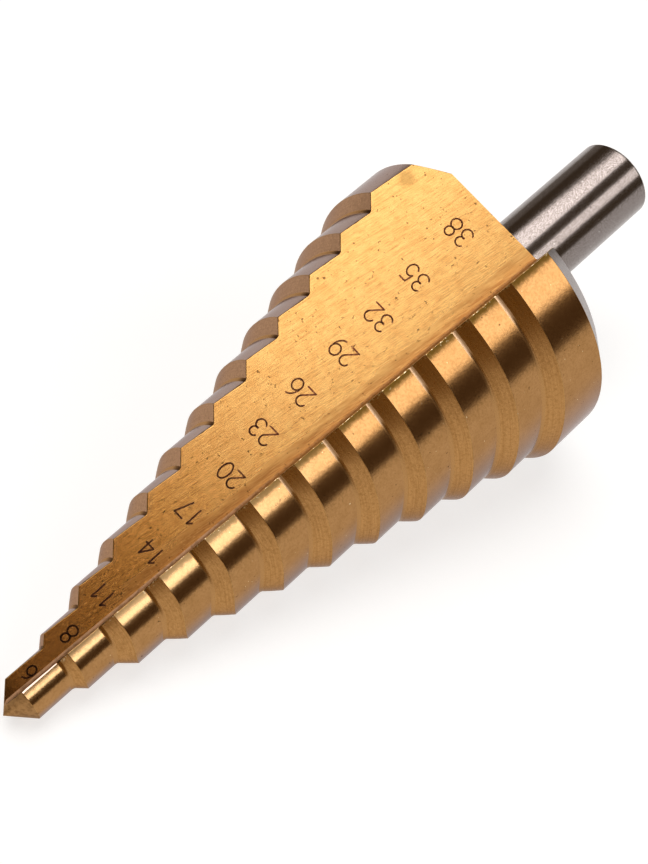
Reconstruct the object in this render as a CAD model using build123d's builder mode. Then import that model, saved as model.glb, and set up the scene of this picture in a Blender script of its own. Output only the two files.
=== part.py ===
from build123d import *
from math import asin, cos, degrees, hypot, radians, sin, tan
import os

# Step drill: one solid piece of tool steel. A short point leads twelve stepped
# lands, with a 45 degree shoulder opening the hole up to each next diameter,
# then comes a plain round shank for a drill chuck. Two straight vee flutes run
# the length of the stepped cone. The drill is built upright, with its point at
# the origin and its axis on Z, and is then laid down on one flute.

# Stepped cone
first_diameter = 6.0        # drilled by the point itself
second_diameter = 8.0       # first size that a shoulder opens up
diameter_increment = 3.0    # growth from each later land to the next
step_count = 12
step_length = 5.7           # from the start of one land to the start of the next
last_land_length = 5.7      # the largest land
point_height = 2.5          # from the tip to the first land
shoulder_angle = 45.0       # slope of each shoulder to the drill axis
root_radius = 0.25          # where a land meets the shoulder behind it
back_chamfer = 2.5          # bevel from the largest land to the back face
relief = 0.34               # shift of each half's own axis, which clears the heels

# Flutes
flute_count = 2
flute_angle = 97.3          # between the heel wall and the cutting wall
flute_radius = 0.4          # in the bottom of the vee
flute_reach = 40.0          # length of each wall in the cutter, past any land
web_thickness = 0.5         # between the two flute bottoms at the tip
flute_ahead = 0.67          # flute bottom ahead of the drill axis at the tip
flute_incline = 9.15        # the bottom climbs away from the drill axis
flute_drift = -2.47         # and drifts back towards the cutting wall

# Shank
shank_diameter = 10.0
shank_length = 23.3
shank_chamfer = 0.3

# Diameters and heights that follow from these
diameters = [first_diameter]
for step in range(step_count - 1):
    diameters.append(second_diameter + step * diameter_increment)
largest_start = point_height + (step_count - 1) * step_length
largest_end = largest_start + last_land_length
back_height = largest_end + back_chamfer
cutting_lean = flute_angle - 90.0


def flute_bottom(height):
    """Where the sharp bottom of the first flute crosses a height."""
    bottom_x = flute_ahead + height * tan(radians(flute_drift))
    bottom_y = web_thickness / 2 + height * tan(radians(flute_incline))
    return bottom_x, bottom_y


def land_radius(diameter, height):
    """Radius from the relief axis that puts the cutting corner on its diameter."""
    bottom_x, bottom_y = flute_bottom(height)
    lean = radians(cutting_lean)
    wall_offset = bottom_x * cos(lean) + bottom_y * sin(lean)
    corner_angle = radians(90.0 + cutting_lean) - asin(2 * wall_offset / diameter)
    corner_x = diameter / 2 * cos(corner_angle)
    corner_y = diameter / 2 * sin(corner_angle)
    return hypot(corner_x - relief, corner_y)


# Outline of one half, from the tip to the back face, as distances from the
# relief axis. It starts below the tip, which lies off that axis, at the origin.
first_radius = land_radius(first_diameter, point_height)
outline = [(0, -relief * point_height / (first_radius - relief))]
roots = []
radius = first_radius
for step, diameter in enumerate(diameters):
    land_start = point_height + step * step_length
    next_radius = land_radius(diameter, land_start)
    if step > 0:
        shoulder_length = (next_radius - radius) / tan(radians(shoulder_angle))
        roots.append((radius, land_start - shoulder_length))
        outline.append(roots[-1])
    outline.append((next_radius, land_start))
    radius = next_radius
outline.append((radius, largest_end))
outline.append((radius - back_chamfer, back_height))
outline.append((0, back_height))

# Half of the stepped cone. The outline is turned about the relief axis and kept
# on the far side of the drill axis, so each land is largest at its cutting edge
# and falls away towards its heel.
relief_plane = Plane(origin=(relief, 0, 0), x_dir=(1, 0, 0), z_dir=(0, -1, 0))
relief_axis = Axis((relief, 0, 0), (0, 0, 1))
with BuildPart() as relieved_half:
    with BuildSketch(relief_plane) as half_outline:
        with BuildLine():
            Polyline(*outline, close=True)
        make_face()
        root_corners = [
            corner
            for corner in half_outline.vertices()
            if any(hypot(corner.X - r, corner.Y - h) < 0.001 for r, h in roots)
        ]
        fillet(root_corners, radius=root_radius)
    revolve(axis=relief_axis)
    split(bisect_by=Plane.YZ, keep=Keep.BOTTOM)

# Cutter for one flute: a vee with a rounded bottom, run along the flute's
# inclined path from before the tip to past the back face. Its heel wall is
# parallel to X, and its cutting wall leans back from Y.
cutter_start = -2 * point_height
cutter_end = back_height + point_height
flute_path = Vector(tan(radians(flute_drift)), tan(radians(flute_incline)), 1)
with BuildPart() as flute_cutter:
    with BuildSketch(Plane.XY.offset(cutter_start)) as vee:
        with BuildLine():
            vee_x, vee_y = flute_bottom(cutter_start)
            lean_x = flute_reach * sin(radians(cutting_lean))
            lean_y = flute_reach * cos(radians(cutting_lean))
            Polyline(
                (vee_x, vee_y),
                (vee_x + flute_reach, vee_y),
                (vee_x + flute_reach, vee_y + lean_y),
                (vee_x - lean_x, vee_y + lean_y),
                close=True,
            )
        make_face()
        vee_corner = vee.vertices().sort_by_distance((vee_x, vee_y, 0))[0]
        fillet(vee_corner, radius=flute_radius)
    extrude(amount=(cutter_end - cutter_start) * flute_path.length, dir=flute_path)

with BuildPart() as upright_drill:
    with PolarLocations(0, flute_count):
        add(relieved_half.part)
    with PolarLocations(0, flute_count):
        add(flute_cutter.part, mode=Mode.SUBTRACT)
    with BuildSketch(Plane.XY.offset(back_height)):
        Circle(shank_diameter / 2)
    extrude(amount=shank_length)
    chamfer(upright_drill.edges().sort_by(Axis.Z)[-1], length=shank_chamfer)

# At rest the drill lies on one flute, on three corners: both front corners of
# the largest land along that flute, and the corner near the tip that the drill
# then tips down onto.
lower_corners = upright_drill.vertices().filter_by(lambda corner: corner.Y < 0)
front_corners = lower_corners.filter_by_position(Axis.Z, largest_start - 0.01, largest_start + 0.01)
heel_corner = Vector(front_corners.sort_by(Axis.X)[0])
cutting_corner = Vector(front_corners.sort_by(Axis.X)[-1])
chord = (cutting_corner - heel_corner).normalized()
chord_middle = (cutting_corner + heel_corner) / 2
across_up = Vector(0, 0, 1).cross(chord)


def slope_to(corner):
    """Rise over run from the largest land's front down to a corner near the tip."""
    offset = Vector(corner) - chord_middle
    return offset.dot(across_up) / (largest_start - corner.Z)


tip_corners = lower_corners.filter_by(lambda corner: corner.Z < largest_start / 2)
tip_corner = min(tip_corners, key=slope_to)
floor_normal = (across_up + Vector(0, 0, slope_to(tip_corner))).normalized()
shankward = Vector(0, 0, 1) - floor_normal * floor_normal.Z
floor_plane = Plane(origin=chord_middle, x_dir=shankward, z_dir=floor_normal)
lying_drill = floor_plane.to_local_coords(upright_drill.part)
extent = lying_drill.bounding_box()

# The origin is on the floor, under the middle of the drill: X runs from the tip
# towards the shank and Z is up.
to_origin = Location((-extent.center().X, -extent.center().Y, -extent.min.Z))
with BuildPart() as step_drill:
    add(lying_drill.moved(to_origin))

os.makedirs("parts", exist_ok=True)
step_drill.part.label = "step_drill"
export_step(step_drill.part, "parts/step_drill.step")
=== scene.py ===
import bmesh
import bpy
import math
from mathutils import Matrix, Quaternion, Vector, noise


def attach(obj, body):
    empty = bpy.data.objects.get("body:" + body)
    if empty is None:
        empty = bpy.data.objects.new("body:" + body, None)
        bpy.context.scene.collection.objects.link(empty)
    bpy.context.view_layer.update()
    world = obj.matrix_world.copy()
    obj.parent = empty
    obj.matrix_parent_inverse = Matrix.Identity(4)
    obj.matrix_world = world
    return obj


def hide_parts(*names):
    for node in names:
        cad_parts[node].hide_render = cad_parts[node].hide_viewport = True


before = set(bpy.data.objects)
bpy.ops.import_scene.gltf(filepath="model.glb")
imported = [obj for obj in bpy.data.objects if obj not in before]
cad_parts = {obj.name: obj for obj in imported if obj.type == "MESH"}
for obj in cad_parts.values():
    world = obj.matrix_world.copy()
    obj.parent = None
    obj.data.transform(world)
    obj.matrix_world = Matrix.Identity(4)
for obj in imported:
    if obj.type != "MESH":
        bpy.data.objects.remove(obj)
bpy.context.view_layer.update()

# A step drill that lies on one of its two flutes. Its body is worked out from the CAD part's sizes with finer
# edges, and its looks are procedural materials laid out on the drill's own axes.
scene = bpy.context.scene
MM = 0.001

# ---------------------------------------------------------------- sizes, in millimetres
# The stepped cone, as in the CAD part.
FIRST_DIAMETER = 6.0
SECOND_DIAMETER = 8.0
DIAMETER_INCREMENT = 3.0    # from each later land to the next
STEP_COUNT = 12
STEP_LENGTH = 5.7
POINT_HEIGHT = 2.5          # from the tip to the first land
BACK_CHAMFER = 2.5
RELIEF = 0.34               # how far each half's own axis is from the drill's
# The flutes, as in the CAD part.
FLUTE_LEAN = math.radians(7.3)                  # of the cutting wall, past square to the heel wall
FLUTE_RISE = math.tan(math.radians(9.15))       # of the bottom, away from the drill's axis
FLUTE_SHIFT = math.tan(math.radians(-2.47))     # of the bottom, back towards the cutting wall
FLUTE_RADIUS = 0.4          # in the bottom
FLUTE_AHEAD = 0.67          # from the drill's axis to the bottom, along the heel wall at the tip
WEB = 0.5                   # between the two flute bottoms, at the tip
# The shank, as in the CAD part.
SHANK_RADIUS = 5.0
SHANK_LENGTH = 23.3
SHANK_CHAMFER = 0.3
BACK_HEIGHT = POINT_HEIGHT + STEP_COUNT * STEP_LENGTH + BACK_CHAMFER
SHANK_END = BACK_HEIGHT + SHANK_LENGTH

# Beyond the CAD part: a wider blend behind each land, and shoulders that get nearer the tip on their way
# round from the cutting edge, by one distance at their upper corner and by more at their root. The lead grows
# and falls over shares of the way round a land. Each step from the tip adds a share of it, until it is full,
# and it fades away by another share a step towards the end of the largest land.
ROOT_RADIUS = 0.6
CORNER_LEAD, ROOT_LEAD = 1.1, 1.5
LEAD_GROWS_FROM, LEAD_FALLS_FROM, LEAD_TAKES = 0.18, 0.58, 0.42
LEAD_ADDED, LEAD_FADED = 0.24, 0.8
SHOULDER_SHARE = 0.26       # the part of each step's length that is shoulder

# How the edges are softened.
EDGE_ROUNDING = 0.07        # on the front corner of each land
CORNER_ROUNDING = 0.05      # on the flute's two long edges
CHIP_DEPTH = 0.10           # how much wider that rounding gets where an edge is chipped
CHIP_RATE = 1.7             # how fast the chips follow one another along an edge
CORNER_FULLNESS = 0.41      # the share of the way from a rounding's chord to the sharp corner at its middle
WALL_PARTS = 6              # a rounding takes at most one such part of the flute's shorter wall
ARC_LIMIT = 0.8             # the rounded bottom takes at most this share of a wall
SUPPORT = 0.06              # a line of points this far inside each rounding keeps it narrow,
SUPPORT_PARTS = 4           # unless that is more than one such part of a stretch of the outline
SHRINK = 0.006              # keeps the fine mesh inside the CAD part's own facets
# The points that stand in for each of the shank bevel's two corners, as (radius, height) from that corner.
BEVEL_POINTS = [((0.0, -0.03), (-0.03, 0.02)), ((0.04, -0.03), (-0.02, 0.0))]
END_RINGS = (0.9, 0.7, 0.45, 0.2)   # on the shank's end, as shares of its radius

# How finely the surfaces are divided.
ROW_STEP, POINT_STEP = 0.55, 0.12
ROOT_ROWS, EDGE_ROWS, SHANK_ROWS = 4, 3, 12
LAND_COLUMNS, HEEL_COLUMNS, CUTTING_COLUMNS, BOTTOM_COLUMNS = 96, 14, 5, 6
SHANK_COLUMNS = 96
SMALLEST_RADIUS = RELIEF * 1.02     # the point's rows start outside the relief axis
HALVINGS = 40               # of the stretch in which a flute meets the outer surface
MERGE_DISTANCE, COLLAPSE_DISTANCE, SAME_HEIGHT = 0.0004, 0.0002, 0.001
NO_LENGTH = 1e-6
SHARP_ANGLE = math.radians(38)

# The drill's own axes in the row frame: the origin at the tip, Z from the tip to the shank, and Y square to
# the heel face that the camera sees. Its axis rises from the tip, and the drill is rolled about it.
TIP = Vector((-47.7978, 0, 2.2220))
AXIS_SLOPE, AXIS_ROLL = math.radians(11.857822), math.radians(23.270010)
LEVEL = Vector((0, 1, 0))
TOOL_Z = Vector((math.cos(AXIS_SLOPE), 0, math.sin(AXIS_SLOPE)))
TOOL_X = LEVEL * math.cos(AXIS_ROLL) + TOOL_Z.cross(LEVEL) * math.sin(AXIS_ROLL)
TOOL = Matrix((TOOL_X, TOOL_Z.cross(TOOL_X), TOOL_Z)).transposed()


def new_object(name, data):
    thing = bpy.data.objects.new(name, data)
    scene.collection.objects.link(thing)
    return thing


def to_row(point):
    """A point on the drill's axes, in millimetres, as a row-frame point in metres."""
    return (TIP + TOOL @ Vector(point)) * MM


def direction(azimuth, elevation):
    a, e = math.radians(azimuth), math.radians(elevation)
    return Vector((math.cos(e) * math.cos(a), math.cos(e) * math.sin(a), math.sin(e)))


def facing(way, roll):
    """The turn that points an object's Z along a way, with its Y up and then rolled by some degrees."""
    return way.to_track_quat("Z", "Y") @ Quaternion((0, 0, 1), math.radians(roll))


# ---------------------------------------------------------------- camera
CAMERA_PLACE = Vector((-91.372, -78.129, 134.158))      # in millimetres
CAMERA_AZIMUTH, CAMERA_ELEVATION, CAMERA_ROLL = -138.5345, 46.0250, 4.6374
SENSOR_WIDTH, LENS = 36, 63.967
CLIP_START, CLIP_END = 0.01, 50                         # in metres

camera_data = bpy.data.cameras.new("camera")
camera_data.sensor_width = SENSOR_WIDTH
camera_data.lens = LENS
camera_data.clip_start, camera_data.clip_end = CLIP_START, CLIP_END
camera = new_object("camera", camera_data)
camera_turn = facing(direction(CAMERA_AZIMUTH, CAMERA_ELEVATION), CAMERA_ROLL)
camera.matrix_world = Matrix.Translation(CAMERA_PLACE * MM) @ camera_turn.to_matrix().to_4x4()
scene.camera = camera


# ---------------------------------------------------------------- outline and flute
def flute_bottom(height):
    """Where the sharp bottom of the upper flute crosses a height."""
    return Vector((FLUTE_AHEAD + height * FLUTE_SHIFT, WEB / 2 + height * FLUTE_RISE))


def land_radius(diameter, height):
    """Radius from the relief axis that puts the cutting corner on its diameter."""
    bottom = flute_bottom(height)
    offset = bottom.x * math.cos(FLUTE_LEAN) + bottom.y * math.sin(FLUTE_LEAN)
    angle = math.pi / 2 + FLUTE_LEAN - math.asin(2 * offset / diameter)
    return math.hypot(diameter / 2 * math.cos(angle) - RELIEF, diameter / 2 * math.sin(angle))


FIRST_RADIUS = land_radius(FIRST_DIAMETER, POINT_HEIGHT)
APEX_HEIGHT = -RELIEF * POINT_HEIGHT / (FIRST_RADIUS - RELIEF)      # where the point meets the relief axis


def outline_corners():
    """The stepped outline as (radius from the relief axis, height, rounding, surface that follows)."""
    corners = [(0, APEX_HEIGHT, 0, "point"), (FIRST_RADIUS, POINT_HEIGHT, EDGE_ROUNDING, "land")]
    radius = FIRST_RADIUS
    for step in range(1, STEP_COUNT):
        start = POINT_HEIGHT + step * STEP_LENGTH
        wider = land_radius(SECOND_DIAMETER + (step - 1) * DIAMETER_INCREMENT, start)
        corners.append((radius, start - (wider - radius), ROOT_RADIUS, "shoulder"))
        corners.append((wider, start, EDGE_ROUNDING, "land"))
        radius = wider
    corners.append((radius, BACK_HEIGHT - BACK_CHAMFER, EDGE_ROUNDING, "chamfer"))
    corners.append((radius - BACK_CHAMFER, BACK_HEIGHT, 0, "back"))
    return corners


def turned(vector, angle):
    """A plane vector turned anticlockwise."""
    c, s = math.cos(angle), math.sin(angle)
    return Vector((vector.x * c - vector.y * s, vector.x * s + vector.y * c))


def spread(first, last, count):
    return [first + (last - first) * k / count for k in range(count + 1)]


def run(start, end, surface):
    """Points along one straight stretch of the outline, with a supporting point near each end."""
    length = (end - start).length
    support = min(SUPPORT, length / SUPPORT_PARTS)
    count = max(1, round((length - 2 * support) / (POINT_STEP if surface == "point" else ROW_STEP)))
    stops = [0] + spread(support, length - support, count)
    return [(*start.lerp(end, stop / length), surface) for stop in stops]


def outline_rows():
    """Points (radius, height, surface up to the next point) along the rounded outline, from tip to back."""
    corners = outline_corners()
    rows = []
    start = Vector(corners[0][:2])
    for before, here, after in zip(corners, corners[1:], corners[2:]):
        corner, rounding = Vector(here[:2]), here[2]
        toward = (corner - Vector(before[:2])).normalized()
        onward = (Vector(after[:2]) - corner).normalized()
        turn = math.atan2(toward.cross(onward), toward.dot(onward))
        cut = rounding * math.tan(abs(turn) / 2)
        entry = corner - toward * cut
        centre = entry + turned(toward, math.copysign(math.pi / 2, turn)) * rounding
        rows += run(start, entry, before[3])
        surface, count = ("root", ROOT_ROWS) if rounding == ROOT_RADIUS else ("edge", EDGE_ROWS)
        rows += [(*(centre + turned(entry - centre, turn * k / count)), surface) for k in range(count)]
        start = corner + onward * cut
    rows += run(start, Vector(corners[-1][:2]), corners[-2][3])
    rows.append((*corners[-1][:2], "back"))
    return rows


def outer_distance(angle, radius):
    """How far the relieved surface of this radius is from the drill's axis, in the direction of an angle."""
    square = radius ** 2 - (RELIEF * math.sin(angle)) ** 2
    return max(0.0, math.sqrt(max(0.0, square)) - RELIEF * abs(math.cos(angle)))


def outer_point(angle, radius):
    return Vector((math.cos(angle), math.sin(angle))) * outer_distance(angle, radius)


FLUTE_ANGLE = math.pi / 2 + FLUTE_LEAN
ARC_HALF = FLUTE_RADIUS * (math.pi - FLUTE_ANGLE) / 2       # half the length of the flute's rounded bottom
ARC_CUT = FLUTE_RADIUS / math.tan(FLUTE_ANGLE / 2)
HEEL_WAY = Vector((1, 0))
CUTTING_WAY = Vector((-math.sin(FLUTE_LEAN), math.cos(FLUTE_LEAN)))


def flute_point(height, along):
    """A point of the flute's section: along is the distance from the middle of the rounded bottom, up the
    heel wall if it is positive and up the cutting wall if it is negative."""
    bottom = flute_bottom(height)
    way = HEEL_WAY if along > 0 else CUTTING_WAY
    if abs(along) > ARC_HALF:
        return bottom + way * (ARC_CUT + abs(along) - ARC_HALF)
    centre = bottom + HEEL_WAY * ARC_CUT + Vector((0, FLUTE_RADIUS))
    return centre + turned(Vector((0, -FLUTE_RADIUS)), (along - ARC_HALF) / FLUTE_RADIUS)


def flute_reach(height, radius, side):
    """How far along the flute's section it meets the outer surface, on the heel (1) or cutting side (-1)."""
    def outside(along):
        point = flute_point(height, side * along)
        return point.length > outer_distance(math.atan2(point.y, point.x), radius)
    if outside(0):
        return 0.0
    near, far = 0.0, 2 * BACK_HEIGHT
    for _ in range(HALVINGS):
        middle = (near + far) / 2
        near, far = (near, middle) if outside(middle) else (middle, far)
    return near


def smooth(share):
    share = max(0.0, min(1.0, share))
    return share * share * (3 - 2 * share)


def lead_share(place):
    """The share of the shoulders' lead, at a place from the cutting edge (0) round to the heel (1)."""
    grown = smooth((place - LEAD_GROWS_FROM) / LEAD_TAKES)
    fallen = smooth((place - LEAD_FALLS_FROM) / LEAD_TAKES)
    return grown * (1 - fallen)


def shoulder_lead(height):
    """The full lead at a height. It follows a curve between a shoulder's two ends, which bulges it."""
    steps = (height - POINT_HEIGHT) / STEP_LENGTH
    place = steps % 1.0
    toward_root = min(place / (1 - SHOULDER_SHARE), (1 - place) / SHOULDER_SHARE)
    bulge = 1 - (1 - toward_root) ** 2
    lead = CORNER_LEAD + (ROOT_LEAD - CORNER_LEAD) * bulge
    return lead * max(0.0, min(1.0, steps * LEAD_ADDED, (STEP_COUNT - steps) * LEAD_FADED))


# ---------------------------------------------------------------- the drill's body
SURFACES = ["point", "land", "root", "shoulder", "edge", "burr", "chamfer", "back",
            "heel", "bottom", "cutting", "shank", "end"]


def half_section(height, radius):
    """Half of the drill's closed section at one outline point, as (point, surface up to the next point, share
    of the shoulders' lead). It runs from the cutting corner round the land to the lower flute's heel corner,
    and then in and out along that flute."""
    cutting, heel = flute_reach(height, radius, -1), flute_reach(height, radius, 1)
    uncut = cutting == 0 and heel == 0

    def wall_point(along):
        if not uncut:
            return -flute_point(height, along)
        middle = flute_point(height, 0)
        return -outer_point(math.atan2(middle.y, middle.x), radius)

    def rounded(corner, one, other):
        """The middle of a rounding between its two ends."""
        middle = (one + other) / 2
        return middle + (corner - middle) * CORNER_FULLNESS

    widest = min(cutting, heel) / WALL_PARTS
    chip = max(0.0, noise.noise(Vector((height * CHIP_RATE, radius, 0))))
    rounding = min(CORNER_ROUNDING + CHIP_DEPTH * chip, widest)
    support = rounding + min(SUPPORT, widest)
    cutting_corner, heel_corner = wall_point(-cutting), wall_point(heel)
    start = math.atan2(-cutting_corner.y, -cutting_corner.x)
    end = math.atan2(-heel_corner.y, -heel_corner.x) + math.pi
    reach = max(outer_distance(start, radius), NO_LENGTH)
    first, last = start + rounding / reach, end - rounding / reach
    pad = (support - rounding) / reach
    angles = [first] + spread(first + pad, last - pad, LAND_COLUMNS) + [last]
    surfaces = ["outer"] * (len(angles) - 1) + ["edge"]
    section = []
    for angle, surface in zip(angles, surfaces):
        share = lead_share((angle - start) / (end - start))
        section.append((outer_point(angle, radius), surface, share))

    heel_wall, cutting_wall = wall_point(heel - rounding), wall_point(rounding - cutting)
    heel_arc = min(ARC_HALF, ARC_LIMIT * (heel - support))
    cutting_arc = min(ARC_HALF, ARC_LIMIT * (cutting - support))
    flute = [(rounded(heel_corner, section[-1][0], heel_wall), "edge"), (heel_wall, "heel")]
    for along in spread(heel - support, heel_arc, HEEL_COLUMNS)[:-1]:
        flute.append((wall_point(along), "heel"))
    for along in spread(heel_arc, -cutting_arc, BOTTOM_COLUMNS)[:-1]:
        flute.append((wall_point(along), "bottom"))
    for along in spread(-cutting_arc, support - cutting, CUTTING_COLUMNS):
        flute.append((wall_point(along), "cutting"))
    flute.append((cutting_wall, "burr"))
    flute.append((rounded(cutting_corner, -section[0][0], cutting_wall), "burr"))
    return section + [(point, surface, 0) for point, surface in flute]


def join_rings(work, low, high, surfaces):
    """Faces between two rings with as many points, and a surface for each."""
    for k, surface in enumerate(surfaces):
        j = (k + 1) % len(low)
        face = work.faces.new((low[k], low[j], high[j], high[k]))
        face.material_index = SURFACES.index(surface)


def add_cone(work):
    """The stepped cone with its flutes, open at the back."""
    rings, surfaces = [], []
    for radius, height, surface in outline_rows():
        if radius <= SMALLEST_RADIUS:
            continue
        half = half_section(height, radius - SHRINK)
        lead = shoulder_lead(height)
        ring = []
        for side in (1, -1):
            ring += [work.verts.new((*(side * point), height - share * lead)) for point, _, share in half]
        rings.append(ring)
        surfaces.append([surface if column == "outer" else column for _, column, _ in half] * 2)
    for low, high, names in zip(rings, rings[1:], surfaces):
        join_rings(work, low, high, names)
    slope = (POINT_HEIGHT - APEX_HEIGHT) / FIRST_RADIUS
    tip = work.verts.new((0, 0, APEX_HEIGHT + (RELIEF + SHRINK) * slope))
    for k in range(len(rings[0])):
        face = work.faces.new((tip, rings[0][(k + 1) % len(rings[0])], rings[0][k]))
        face.material_index = SURFACES.index("point")


def add_shank(work):
    """The shank with its bevel and its end, open at the back of the cone."""
    bevel_start, bevel_end = SHANK_END - SHANK_CHAMFER, SHANK_RADIUS - SHANK_CHAMFER
    rows = [(SHANK_RADIUS, height) for height in spread(BACK_HEIGHT, bevel_start - 2 * SUPPORT, SHANK_ROWS)]
    for corner, around in zip(((SHANK_RADIUS, bevel_start), (bevel_end, SHANK_END)), BEVEL_POINTS):
        rows += [(corner[0] + outward, corner[1] + upward) for outward, upward in around]
    rows += [(SHANK_RADIUS * share, SHANK_END) for share in END_RINGS]
    rings = []
    for radius, height in rows:
        angles = [2 * math.pi * k / SHANK_COLUMNS for k in range(SHANK_COLUMNS)]
        rings.append([work.verts.new((radius * math.cos(a), radius * math.sin(a), height)) for a in angles])
    for (_, height), low, high in zip(rows, rings, rings[1:]):
        join_rings(work, low, high, ["end" if height == SHANK_END else "shank"] * SHANK_COLUMNS)
    cap = work.faces.new(rings[-1])
    cap.material_index = SURFACES.index("end")


def add_back(work):
    """The flat back face, between the cone and the shank."""
    rim = []
    for edge in work.edges:
        if edge.is_boundary and all(abs(vert.co.z - BACK_HEIGHT) < SAME_HEIGHT for vert in edge.verts):
            rim.append(edge)
    made = bmesh.ops.triangle_fill(work, edges=rim, use_beauty=True, normal=(0, 0, 1))
    for item in made["geom"]:
        if isinstance(item, bmesh.types.BMFace):
            item.material_index = SURFACES.index("back")


def drill_body():
    """One closed mesh of the whole drill, with a material index for each surface. Its points keep their place
    on the drill's own axes, in millimetres, in the attribute tool."""
    work = bmesh.new()
    add_cone(work)
    add_shank(work)
    bmesh.ops.remove_doubles(work, verts=work.verts, dist=MERGE_DISTANCE)
    bmesh.ops.dissolve_degenerate(work, edges=work.edges, dist=COLLAPSE_DISTANCE)
    add_back(work)
    bmesh.ops.recalc_face_normals(work, faces=work.faces)
    mesh = bpy.data.meshes.new("step_drill_body")
    work.to_mesh(mesh)
    work.free()
    place = mesh.attributes.new("tool", "FLOAT_VECTOR", "POINT")
    for vertex in mesh.vertices:
        place.data[vertex.index].vector = vertex.co
        vertex.co = to_row(vertex.co)
    for face in mesh.polygons:
        face.use_smooth = True
    mesh.set_sharp_from_angle(angle=SHARP_ANGLE)
    return mesh


drill = new_object("step_drill_body", drill_body())


# ---------------------------------------------------------------- materials
class Graph:
    """A metal's shader nodes under short names. tool, x, y and z are the drill's own coordinates in
    millimetres, out is the distance from its axis, and angle is the angle round it."""

    def __init__(self, name):
        self.material = bpy.data.materials.new(name)
        self.material.use_nodes = True
        self.tree = self.material.node_tree
        self.shader = self.tree.nodes["Principled BSDF"]
        self.tool = self.node("ShaderNodeAttribute", attribute_name="tool").outputs["Vector"]
        split = self.node("ShaderNodeSeparateXYZ", {0: self.tool}).outputs
        self.x, self.y, self.z = split[0], split[1], split[2]
        self.out = self.math("SQRT", self.math("ADD", self.times(self.x, self.x), self.times(self.y, self.y)))
        self.angle = self.math("ARCTAN2", self.y, self.x)

    def put(self, socket, value):
        if isinstance(value, bpy.types.NodeSocket):
            self.tree.links.new(value, socket)
        else:
            socket.default_value = value

    def node(self, kind, inputs=(), **settings):
        made = self.tree.nodes.new(kind)
        for key, value in settings.items():
            setattr(made, key, value)
        for key, value in dict(inputs).items():
            self.put(made.inputs[key], value)
        return made

    def math(self, operation, first, second=0.0, third=0.0):
        return self.node("ShaderNodeMath", {0: first, 1: second, 2: third}, operation=operation).outputs[0]

    def times(self, first, second):
        return self.math("MULTIPLY", first, second)

    def line(self, value, slope, offset):
        return self.math("MULTIPLY_ADD", value, slope, offset)

    def between(self, value, low, high, start=0.0, end=1.0):
        """value, moved smoothly from start at low to end at high."""
        inputs = {0: value, 1: low, 2: high, 3: start, 4: end}
        return self.node("ShaderNodeMapRange", inputs, interpolation_type="SMOOTHSTEP").outputs[0]

    def vector(self, x, y, z):
        return self.node("ShaderNodeCombineXYZ", {0: x, 1: y, 2: z}).outputs[0]

    def noise(self, vector, scale, detail, rough):
        inputs = {"Vector": vector, "Scale": scale, "Detail": detail, "Roughness": rough}
        return self.node("ShaderNodeTexNoise", inputs).outputs[0]

    def streaks(self, first, second, scales, detail, rough, layer=0.0):
        """Noise over two values with a scale for each; another layer has another pattern."""
        place = self.vector(self.times(first, scales[0]), self.times(second, scales[1]), layer)
        return self.noise(place, 1.0, detail, rough)

    def ragged(self, value, noise, amount):
        """value, moved either way by up to half the amount."""
        return self.line(self.math("SUBTRACT", noise, 0.5), amount, value)

    def mix(self, share, first, second):
        made = self.node("ShaderNodeMix", {}, data_type="RGBA")
        colours = [socket for socket in made.inputs if socket.type == "RGBA"]
        self.put(made.inputs[0], share)
        for socket, value in zip(colours, (first, second)):
            self.put(socket, value if isinstance(value, bpy.types.NodeSocket) else (*value, 1))
        return [socket for socket in made.outputs if socket.type == "RGBA"][0]

    def cover(self, colour, over, share, where, start, full):
        """colour, covered up to a share by another: none of it where a value is at start, and all at full."""
        return self.mix(self.between(where, start, full, 0.0, share), colour, over)

    def finish(self, colour, roughness, height, depth, metallic=1.0, tint=(1, 1, 1, 1)):
        """Fills the shader's sockets. The bumps are height times depth, in millimetres."""
        self.shader.inputs["Specular Tint"].default_value = tint
        self.put(self.shader.inputs["Base Color"], colour)
        self.put(self.shader.inputs["Roughness"], roughness)
        self.put(self.shader.inputs["Metallic"], metallic)
        bump = self.node("ShaderNodeBump", {"Height": height, "Strength": 1.0, "Distance": depth * MM})
        self.put(self.shader.inputs["Normal"], bump.outputs[0])
        return self.material


GOLD, GOLD_DARK, GLINT = (0.52, 0.325, 0.128), (0.14, 0.07, 0.022), (0.95, 0.85, 0.62)
STEEL, STEEL_WARM, STEEL_PIT = (0.325, 0.288, 0.274), (0.235, 0.203, 0.19), (0.75, 0.74, 0.72)
EDGE_TINT = (0.70, 0.66, 0.66, 1)       # the coating's own reflection at a grazing angle

# The heel's colour at the very tip is painted shade, and its browner colour towards the tip is partly painted
# shade.
HEEL_TIPWARD, HEEL_TIP = (0.42, 0.175, 0.034), (0.10, 0.045, 0.012)
# The border colour is painted shade along the flute's bottom.
HEEL_BLOTCH, HEEL_BORDER_SHADE, HEEL_STAIN = (0.44, 0.22, 0.07), (0.30, 0.13, 0.04), (0.26, 0.16, 0.055)
STREAK_PALE, STREAK_DARK, STREAK_WIDE = (0.66, 0.43, 0.20), (0.24, 0.10, 0.025), (0.30, 0.15, 0.045)
# The bright flake colour is painted glints; the dark one is dark spots.
HEEL_GLINT, FLAKE_DARK = (0.80, 0.48, 0.18), (0.17, 0.065, 0.015)
MILLING_SLANT = 0.15                    # of the milled streaks to the flute, as a slope
STAIN_PLACE = (13.9, 11.4, 69.2)        # on the drill's own axes

LAND, LAND_OTHER, LAND_GRAIN = (0.46, 0.270, 0.120), (0.42, 0.242, 0.102), (0.30, 0.16, 0.055)
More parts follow.
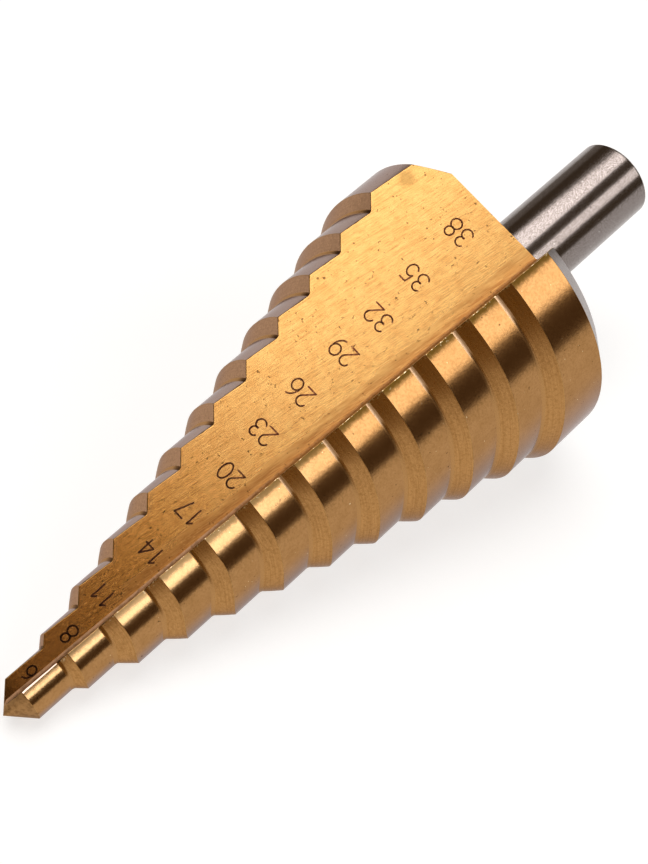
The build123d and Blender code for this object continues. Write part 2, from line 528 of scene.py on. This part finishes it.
# The lands' heelward grey is a painted reflection, and their shine colour is a painted highlight.
LAND_HEELWARD_REFLECTION, LAND_PAINTED_SHINE = (0.46, 0.385, 0.37), (0.66, 0.47, 0.27)
LAND_STRIP, LAND_EDGE_DARK = (0.17, 0.10, 0.018), (0.20, 0.11, 0.04)

SHOULDER, SHOULDER_OTHER = (0.50, 0.288, 0.118), (0.43, 0.240, 0.092)
# The shoulders' heelward grey is a painted reflection.
SHOULDER_GRAIN, SHOULDER_HEELWARD_REFLECTION = (0.31, 0.165, 0.05), (0.42, 0.29, 0.24)

# The root's bright colour is a painted highlight, and its darkest colour is painted shade.
ROOT, ROOT_PAINTED_SHINE, ROOT_CORNER_SHADE = (0.46, 0.27, 0.115), (0.90, 0.66, 0.46), (0.10, 0.045, 0.015)
BURR_TIPWARD, BURR = (0.14, 0.075, 0.025), (0.28, 0.17, 0.06)
EDGE, POINT, CUTTING = (0.48, 0.29, 0.12), (0.42, 0.25, 0.11), (0.45, 0.25, 0.10)
# The bottom's lighter colour towards the tip is a painted highlight of its rounding.
BOTTOM_TIPWARD_HIGHLIGHT, BOTTOM = (0.55, 0.34, 0.20), (0.52, 0.26, 0.085)
CHAMFER, BACK = (0.42, 0.37, 0.36), (0.36, 0.31, 0.30)
MARK_TIPWARD, MARK = (0.14, 0.055, 0.02), (0.46, 0.24, 0.11)
MARK_BURNT, MARK_DARK = (0.22, 0.075, 0.036), (0.05, 0.016, 0.008)

# The upper flute's cutting wall stands off the drill's axis by an offset that drifts with the height.
CUTTING_OFFSET = FLUTE_AHEAD * math.cos(FLUTE_LEAN) + WEB / 2 * math.sin(FLUTE_LEAN)
CUTTING_DRIFT = FLUTE_SHIFT * math.cos(FLUTE_LEAN) + FLUTE_RISE * math.sin(FLUTE_LEAN)


def half_places(g):
    """On either half: the distances from its cutting wall and its heel face, and the slope of the line out to
    it from the drill's axis, which falls from the cutting wall to the heel."""
    across = g.math("ABSOLUTE", g.x)
    rise = g.times(g.y, g.times(g.math("SIGN", g.x), -1.0))
    wall = g.math("SUBTRACT", g.times(rise, math.sin(FLUTE_LEAN)), g.times(across, math.cos(FLUTE_LEAN)))
    from_cutting = g.math("SUBTRACT", g.line(g.z, CUTTING_DRIFT, CUTTING_OFFSET), wall)
    from_heel = g.math("ADD", rise, g.line(g.z, FLUTE_RISE, WEB / 2))
    return from_cutting, from_heel, g.math("DIVIDE", rise, across)


def heel_material():
    """Milled flat: streaks along the flute, dark specks, a stain, and painted shade in a browner border along
    the bottom. It gets browner towards the tip, partly as painted shade, with dark spots and painted glints
    there and painted shade at the very tip."""
    g = Graph("drill_heel")
    across = g.times(g.x, g.math("SIGN", g.y))
    slant = g.line(g.z, MILLING_SLANT, across)
    fine = g.streaks(slant, g.z, scales=(8.5, 0.42), detail=4.0, rough=0.75)
    wide = g.streaks(slant, g.z, scales=(1.6, 0.16), detail=2.0, rough=0.5, layer=3.0)
    glints_and_spots = g.streaks(slant, g.z, scales=(3.4, 1.7), detail=2.0, rough=0.6, layer=9.0)
    blotches = g.noise(g.tool, scale=0.9, detail=3.0, rough=0.6)
    specks = g.noise(g.tool, scale=2.6, detail=1.0, rough=0.5)

    # Browner towards the tip; the darkening there is partly painted shade.
    colour = g.cover(GOLD, HEEL_TIPWARD, share=0.86, where=g.z, start=50.0, full=2.0)
    colour = g.cover(colour, HEEL_BLOTCH, share=0.35, where=blotches, start=0.35, full=0.7)
    colour = g.cover(colour, STREAK_PALE, share=0.20, where=fine, start=0.47, full=0.36)
    colour = g.cover(colour, STREAK_DARK, share=0.42, where=fine, start=0.50, full=0.68)
    colour = g.cover(colour, STREAK_WIDE, share=0.20, where=wide, start=0.52, full=0.70)

    # Painted shade: a browner, ragged border along the flute's bottom, away from the tip.
    from_bottom = g.math("SUBTRACT", across, g.line(g.z, FLUTE_SHIFT, FLUTE_AHEAD))
    edge_band = g.ragged(from_bottom, wide, amount=3.0)
    border_shade = g.times(g.between(edge_band, 0.3, 2.2, start=0.8, end=0.0), g.between(g.z, 12.0, 26.0))
    colour = g.mix(g.times(border_shade, g.between(fine, 0.35, 0.6, start=0.4, end=1.0)), colour, HEEL_BORDER_SHADE)

    stain = g.node("ShaderNodeVectorMath", {0: g.tool, 1: STAIN_PLACE}, operation="DISTANCE").outputs["Value"]
    stain = g.ragged(stain, blotches, amount=2.0)
    colour = g.cover(colour, HEEL_STAIN, share=0.6, where=stain, start=1.3, full=0.5)
    colour = g.cover(colour, GOLD_DARK, share=0.8, where=specks, start=0.70, full=0.74)

    # Towards the tip: painted glints and dark spots.
    tipward = g.between(g.z, 38.0, 16.0)
    colour = g.mix(g.times(g.between(glints_and_spots, 0.58, 0.70, end=0.35), tipward), colour, HEEL_GLINT)
    colour = g.mix(g.times(g.between(glints_and_spots, 0.44, 0.32, end=0.35), tipward), colour, FLAKE_DARK)
    # Painted shade at the very tip, where the flute's rounded bottom flares out.
    colour = g.cover(colour, HEEL_TIP, share=0.6, where=g.z, start=3.6, full=1.6)
    return g.finish(colour, g.between(border_shade, 0.0, 0.7, start=0.27, end=0.36), fine, depth=0.008)


def land_material():
    """Ground round the drill: a fine grain, pits, and nicks painted as glints, a painted grey reflection on
    the side towards the heel, and a dull strip along the cutting edge with painted glints off its burr. The
    lands near the tip have a painted highlight beside that edge, and the first has a darker line along it."""
    g = Graph("drill_land")
    from_cutting, _, slope = half_places(g)
    grain = g.noise(g.tool, scale=3.6, detail=2.0, rough=0.6)
    mottle = g.noise(g.tool, scale=0.6, detail=3.0, rough=0.6)
    pits = g.noise(g.tool, scale=2.3, detail=1.0, rough=0.5)
    nick_glints = g.noise(g.vector(g.y, g.z, g.x), scale=2.9, detail=1.0, rough=0.5)

    colour = g.cover(LAND, LAND_OTHER, share=1.0, where=mottle, start=0.3, full=0.75)
    colour = g.cover(colour, LAND_GRAIN, share=0.3, where=grain, start=0.4, full=0.7)
    # Painted reflection: greyer on the side towards the heel.
    colour = g.cover(colour, LAND_HEELWARD_REFLECTION, share=0.75, where=slope, start=0.68, full=0.0)
    colour = g.cover(colour, GOLD_DARK, share=0.85, where=pits, start=0.745, full=0.775)
    # Nicks, painted as glints.
    colour = g.cover(colour, GLINT, share=0.5, where=nick_glints, start=0.775, full=0.80)

    inside_strip = g.between(g.ragged(from_cutting, pits, amount=0.6), 0.25, 1.05, start=1.0, end=0.0)
    strip = g.times(inside_strip, g.between(g.z, 4.0, 20.0, start=0.5, end=1.0))
    colour = g.mix(g.times(strip, 0.9), colour, LAND_STRIP)
    # Painted highlight beside the cutting edge of the lands near the tip.
    painted_shine = g.times(g.between(slope, 2.0, 2.8), g.between(g.z, 48.0, 16.0, end=0.6))
    colour = g.mix(painted_shine, colour, LAND_PAINTED_SHINE)
    # A darker line along the first land's cutting edge.
    edge_band = g.times(g.between(from_cutting, 0.35, 0.1), g.between(g.z, 9.0, 6.0))
    colour = g.mix(edge_band, colour, LAND_EDGE_DARK)
    # Painted glints off the burr along the cutting edge.
    burr = g.times(g.between(grain, 0.60, 0.66), g.between(from_cutting, 0.15, 0.6, start=0.7, end=0.0))
    patchy = g.times(g.between(mottle, 0.50, 0.60), g.between(g.z, 9.0, 20.0))
    colour = g.mix(g.times(burr, patchy), colour, GLINT)
    roughness = g.line(strip, 0.2, g.between(grain, 0.3, 0.7, start=0.16, end=0.21))
    return g.finish(colour, roughness, grain, depth=0.004, tint=EDGE_TINT)


def shoulder_material():
    """Ground shoulder: rings left by the grinding, a painted grey reflection on the side towards the heel,
    and painted glints off a burr along the cutting edge."""
    g = Graph("drill_shoulder")
    from_cutting, _, slope = half_places(g)
    rings = g.streaks(g.angle, g.out, scales=(2.0, 8.0), detail=3.0, rough=0.6)
    grain = g.noise(g.tool, scale=3.2, detail=2.0, rough=0.6)
    colour = g.cover(SHOULDER, SHOULDER_OTHER, share=1.0, where=rings, start=0.38, full=0.66)
    colour = g.cover(colour, SHOULDER_GRAIN, share=0.35, where=grain, start=0.45, full=0.7)
    # Painted reflection: greyer on the side towards the heel.
    colour = g.cover(colour, SHOULDER_HEELWARD_REFLECTION, share=0.45, where=slope, start=0.1, full=-0.1)
    # Painted glints off the burr along the cutting edge.
    burr = g.times(g.between(grain, 0.58, 0.64), g.between(from_cutting, 0.15, 0.5, start=0.6, end=0.0))
    colour = g.mix(burr, colour, GLINT)
    roughness = g.between(grain, 0.3, 0.7, start=0.26, end=0.34)
    return g.finish(colour, roughness, grain, depth=0.004, tint=EDGE_TINT)


def root_material():
    """The blend behind each land: a painted highlight beside the cutting edge of the larger lands, and
    painted shade in it next to the heel face."""
    g = Graph("drill_root")
    _, from_heel, slope = half_places(g)
    mottle = g.noise(g.tool, scale=2.0, detail=3.0, rough=0.6)
    # Painted highlight beside the cutting edge of the larger lands.
    painted_shine = g.times(g.between(slope, 2.2, 3.2), g.between(g.z, 24.0, 42.0))
    colour = g.mix(painted_shine, ROOT, ROOT_PAINTED_SHINE)
    # Painted shade in the blend next to the heel face.
    colour = g.cover(colour, ROOT_CORNER_SHADE, share=0.9, where=from_heel, start=1.5, full=0.2)
    roughness = g.between(painted_shine, 0.0, 1.0, start=0.26, end=0.5)
    return g.finish(colour, roughness, mottle, depth=0.004, tint=EDGE_TINT)


def burr_material():
    """The turned-over cutting edge: dull, with painted glints as bright specks on all but the smallest lands.
    """
    g = Graph("drill_burr")
    grain = g.noise(g.tool, scale=3.4, detail=2.0, rough=0.6)
    # Painted glints as bright specks.
    specks = g.times(g.between(grain, 0.54, 0.62), g.between(g.z, 9.0, 20.0, end=0.85))
    dull = g.cover(BURR_TIPWARD, BURR, share=1.0, where=g.z, start=5.0, full=16.0)
    return g.finish(g.mix(specks, dull, GLINT), 0.4, grain, depth=0.02)


def plain_gold(name, colour, roughness, tipward=None, change=(0.0, 1.0), metallic=1.0):
    """Coated steel with faint mottling. Towards the tip it may have another colour, which changes between
    two heights."""
    g = Graph(name)
    mottle = g.noise(g.tool, scale=2.0, detail=3.0, rough=0.6)
    base = g.cover(tipward or colour, colour, share=1.0, where=g.z, start=change[0], full=change[1])
    mottled = g.cover(base, GOLD_DARK, share=0.5, where=mottle, start=0.40, full=0.72)
    return g.finish(mottled, roughness, mottle, depth=0.006, metallic=metallic, tint=EDGE_TINT)


def steel_material(name, colour, roughness):
    """Ground steel: a speckled grain that breaks up the highlights, shallow waves and a few pits."""
    g = Graph(name)
    grain = g.noise(g.tool, scale=9.0, detail=1.0, rough=0.6)
    waves = g.streaks(g.angle, g.z, scales=(2.5, 0.9), detail=3.0, rough=0.6)
    pits = g.noise(g.tool, scale=2.4, detail=1.0, rough=0.5)
    mixed = g.cover(colour, STEEL_WARM, share=1.0, where=grain, start=0.35, full=0.65)
    mixed = g.cover(mixed, STEEL_PIT, share=0.5, where=pits, start=0.765, full=0.79)
    speckled = g.between(grain, 0.35, 0.65, start=roughness, end=roughness + 0.12)
    return g.finish(mixed, speckled, waves, depth=0.010)


looks = {
    "heel": heel_material(),
    "land": land_material(),
    "shoulder": shoulder_material(),
    "burr": burr_material(),
    "root": root_material(),
    "edge": plain_gold("drill_edge", EDGE, roughness=0.3),
    "point": plain_gold("drill_point", POINT, roughness=0.4),
    # The lighter colour towards the tip is a painted highlight.
    "bottom": plain_gold("drill_bottom", BOTTOM, roughness=0.5, tipward=BOTTOM_TIPWARD_HIGHLIGHT, change=(26.0, 38.0),
                         metallic=0.3),
    "cutting": plain_gold("drill_cutting", CUTTING, roughness=0.5, metallic=0.15),
    "chamfer": steel_material("drill_chamfer", CHAMFER, roughness=0.25),
    "back": steel_material("drill_back", BACK, roughness=0.35),
    "shank": steel_material("drill_shank", STEEL, roughness=0.14),
    "end": steel_material("drill_end", STEEL, roughness=0.3),
}
for name in SURFACES:
    drill.data.materials.append(looks[name])

# ---------------------------------------------------------------- step numbers
DIGIT_WIDTH, DIGIT_HEIGHT, DIGIT_GAP, STROKE = 1.22, 2.2, 0.36, 0.19
MARK_LIFT = 0.008           # how far the marks stand off the heel face
ARC_PIECE, FEWEST_PIECES = 12, 6        # an arc's pieces are about this many degrees, and at least so many
ROUND_END = (-90, -45, 0, 45, 90)       # the directions of a strip's end points from its end's centre
# Each digit's strokes in shares of its width and height, from its lower left corner: a run of points, or an
# arc as (centre, half width, half height, first angle, last angle).
STROKES = {
    "0": [((0.5, 0.5), 0.5, 0.5, 0, 360)],
    "1": [[(0.25, 0.78), (0.62, 1.0), (0.62, 0.0)]],
    "2": [((0.5, 0.72), 0.47, 0.28, 165, -40), [(0.86, 0.54), (0.03, 0.0), (1.0, 0.0)]],
    "3": [((0.47, 0.755), 0.42, 0.245, 150, -95), ((0.47, 0.27), 0.49, 0.27, 95, -155)],
    "4": [[(0.75, 0.0), (0.75, 1.0), (0.0, 0.3), (1.0, 0.3)]],
    "5": [[(0.9, 1.0), (0.25, 1.0), (0.12, 0.52)], ((0.48, 0.33), 0.48, 0.33, 140, -150)],
    "6": [((0.5, 0.31), 0.48, 0.31, 0, 360), ((0.78, 0.36), 0.76, 0.62, 176, 96)],
    "7": [[(0.0, 1.0), (1.0, 1.0), (0.35, 0.0)]],
    "8": [((0.5, 0.76), 0.4, 0.24, 0, 360), ((0.5, 0.27), 0.49, 0.27, 0, 360)],
    "9": [((0.5, 0.69), 0.48, 0.31, 0, 360), ((0.22, 0.64), 0.76, 0.62, -4, -84)],
}
# Where the middle of each number stands on the heel face, as (distance from the drill's axis, height from the
# tip), and its size as a share of the digits' size above.
NUMBER_PLACES = {
    "38": (5.6, 69.2, 1.05), "35": (5.1, 62.1, 1.0), "32": (4.5, 56.0, 1.0), "29": (4.3, 50.6, 1.0),
    "26": (4.2, 44.2, 1.0), "23": (3.7, 38.4, 0.95), "20": (2.6, 32.8, 0.9), "17": (2.5, 27.1, 0.9),
    "14": (2.1, 21.5, 0.85), "11": (2.2, 15.0, 0.8), "8": (1.6, 10.0, 0.9), "6": (1.4, 4.6, 0.75),
}


def stroke_points(stroke):
    """The points of one stroke in shares of the digit's box."""
    if isinstance(stroke, list):
        return [Vector(point) for point in stroke]
    centre, half_width, half_height, first, last = stroke
    count = max(FEWEST_PIECES, round(abs(last - first) / ARC_PIECE))
    angles = [math.radians(angle) for angle in spread(first, last, count)]
    return [Vector(centre) + Vector((half_width * math.cos(a), half_height * math.sin(a))) for a in angles]


def strip_outline(start, end):
    """A straight strip with round ends, as wide as a stroke."""
    start, end = Vector(start), Vector(end)
    along = (end - start).normalized() * STROKE / 2
    points = []
    for centre, way in ((start, -along), (end, along)):
        points += [centre + turned(way, math.radians(angle)) for angle in ROUND_END]
    return points


def mark_strips():
    """The outlines of all the numbers' strips, as (distance from the drill's axis, height from the tip)."""
    strips = []
    for number, (middle_x, middle_z, size) in NUMBER_PLACES.items():
        width, tall, gap = DIGIT_WIDTH * size, DIGIT_HEIGHT * size, DIGIT_GAP * size
        length = len(number) * width + (len(number) - 1) * gap
        for order, digit in enumerate(number):
            left = middle_x - length / 2 + order * (width + gap)
            for stroke in STROKES[digit]:
                line = [(left + p.x * width, middle_z + (0.5 - p.y) * tall) for p in stroke_points(stroke)]
                strips += [strip_outline(start, end) for start, end in zip(line, line[1:])]
    return strips


def mark_piece():
    """The numbers as flat strips just off the upper flute's heel face."""
    work = bmesh.new()
    tool = work.verts.layers.float_vector.new("tool")
    for strip in mark_strips():
        verts = []
        for x, z in strip:
            place = Vector((x, WEB / 2 + FLUTE_RISE * z + MARK_LIFT, z))
            vert = work.verts.new(to_row(place))
            vert[tool] = place
            verts.append(vert)
        work.faces.new(verts)
    mesh = bpy.data.meshes.new("step_numbers")
    work.to_mesh(mesh)
    work.free()
    return new_object("step_numbers", mesh)


def mark_material():
    """Burnt marks, uneven where the milled lines cross them, and lighter away from the tip."""
    g = Graph("burnt_marks")
    grain = g.streaks(g.x, g.z, scales=(5.0, 2.0), detail=3.0, rough=0.6)
    light, dark = g.between(g.z, 22.0, 46.0), g.between(grain, 0.66, 0.38)
    colour = g.mix(dark, g.mix(light, MARK_TIPWARD, MARK), MARK_DARK)
    colour = g.mix(g.times(light, dark), colour, MARK_BURNT)
    return g.finish(colour, 0.5, grain, depth=0.01, metallic=0.85)


marks = mark_piece()
marks.data.materials.append(mark_material())
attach(marks, "root")

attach(drill, "root")
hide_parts("step_drill")

# ---------------------------------------------------------------- floor and light, in metres
STAGE_RADIUS, STAGE_SEGMENTS, STAGE_ROUGHNESS = 4.0, 96, 0.9
FLOOR_GREY, FLOOR_GLOW = 0.38, 0.72
BACKDROP_HEIGHT, BACKDROP_GAP, BACKDROP_GLOW = 2.5, 0.02, 0.6
DRILL_MIDDLE = Vector((0, 0, 0.015))
LAMP_DISTANCE = 1.2
# The panel overhead faces straight down. Its edges towards the tip and the camera darken the heel face and
# the lands.
OVERHEAD_PLACE, OVERHEAD_TURN = Vector((0.133, 0.160, 1.2)), 15
# A low brown card in front of the drill darkens the shoulders, which face it. Only reflections show it.
FLAG_DISTANCE, FLAG_WIDTH, FLAG_HEIGHT, FLAG_AZIMUTH = 0.10, 0.13, 0.06, -147
FLAG_COLOUR, FLAG_GLOW = (0.02, 0.015, 0.01, 1), (0.27, 0.165, 0.03, 1)
WORLD_COLOUR = (0.15, 0.105, 0.06, 1)
GAMMA = 0.83


def stage_piece(name, radius, grey, glow, height=None):
    """A round floor or, with a height, an upright backdrop ring."""
    work = bmesh.new()
    bmesh.ops.create_circle(work, cap_ends=height is None, segments=STAGE_SEGMENTS, radius=radius)
    if height is not None:
        raised = bmesh.ops.extrude_edge_only(work, edges=work.edges)["geom"]
        for vertex in [item for item in raised if isinstance(item, bmesh.types.BMVert)]:
            vertex.co.z += height
    mesh = bpy.data.meshes.new(name)
    work.to_mesh(mesh)
    work.free()
    thing = new_object(name, mesh)
    material = bpy.data.materials.new(name)
    material.use_nodes = True
    shader = material.node_tree.nodes["Principled BSDF"]
    shader.inputs["Base Color"].default_value = (grey, grey, grey, 1)
    shader.inputs["Roughness"].default_value = STAGE_ROUGHNESS
    shader.inputs["Specular IOR Level"].default_value = 0
    shader.inputs["Emission Color"].default_value = (1, 1, 1, 1)
    shader.inputs["Emission Strength"].default_value = glow
    mesh.materials.append(material)
    return thing


def softbox(name, centre, width, height, radiance, roll=0):
    """An area light that faces the drill, rolled by some degrees; the camera doesn't see it."""
    data = bpy.data.lights.new(name, "AREA")
    data.shape = "RECTANGLE"
    data.size, data.size_y = width, height
    data.energy = radiance * math.pi * width * height
    lamp = new_object(name, data)
    lamp.location = centre
    lamp.rotation_mode = "QUATERNION"
    lamp.rotation_quaternion = facing(centre - DRILL_MIDDLE, roll)
    lamp.visible_camera = False
    return lamp


def flag_card():
    """The card, upright on the floor and facing the drill."""
    work = bmesh.new()
    bmesh.ops.create_grid(work, x_segments=1, y_segments=1, size=0.5)
    mesh = bpy.data.meshes.new("flag")
    work.to_mesh(mesh)
    work.free()
    flag = new_object("flag", mesh)
    flag.scale = (FLAG_WIDTH, FLAG_HEIGHT, 1)
    flag.location = direction(FLAG_AZIMUTH, 0) * FLAG_DISTANCE + Vector((0, 0, FLAG_HEIGHT / 2))
    flag.rotation_mode = "QUATERNION"
    flag.rotation_quaternion = facing(direction(FLAG_AZIMUTH, 0), 0)
    material = bpy.data.materials.new("flag")
    material.use_nodes = True
    shader = material.node_tree.nodes["Principled BSDF"]
    shader.inputs["Base Color"].default_value = FLAG_COLOUR
    shader.inputs["Emission Color"].default_value = FLAG_GLOW
    shader.inputs["Emission Strength"].default_value = 1.0
    mesh.materials.append(material)
    flag.visible_camera = flag.visible_diffuse = flag.visible_shadow = False


stage_piece("floor", STAGE_RADIUS, FLOOR_GREY, FLOOR_GLOW)
backdrop = stage_piece("backdrop", STAGE_RADIUS - BACKDROP_GAP, 0.0, BACKDROP_GLOW, BACKDROP_HEIGHT)
backdrop.visible_glossy = backdrop.visible_diffuse = backdrop.visible_shadow = False

overhead = softbox("overhead", OVERHEAD_PLACE, width=1.10, height=1.00, radiance=3.1)
overhead.rotation_quaternion = Quaternion((0, 0, 1), math.radians(OVERHEAD_TURN))
softbox("front_right", direction(-72, 39.5) * LAMP_DISTANCE, width=1.1, height=0.45, radiance=2.5, roll=-12)
softbox("far_side", direction(57, 12) * LAMP_DISTANCE, width=1.2, height=0.50, radiance=0.22)
flag_card()

world = bpy.data.worlds.new("studio")
world.use_nodes = True
world.node_tree.nodes["Background"].inputs["Color"].default_value = WORLD_COLOUR
scene.world = world
scene.view_settings.view_transform = "Standard"
scene.view_settings.gamma = GAMMA
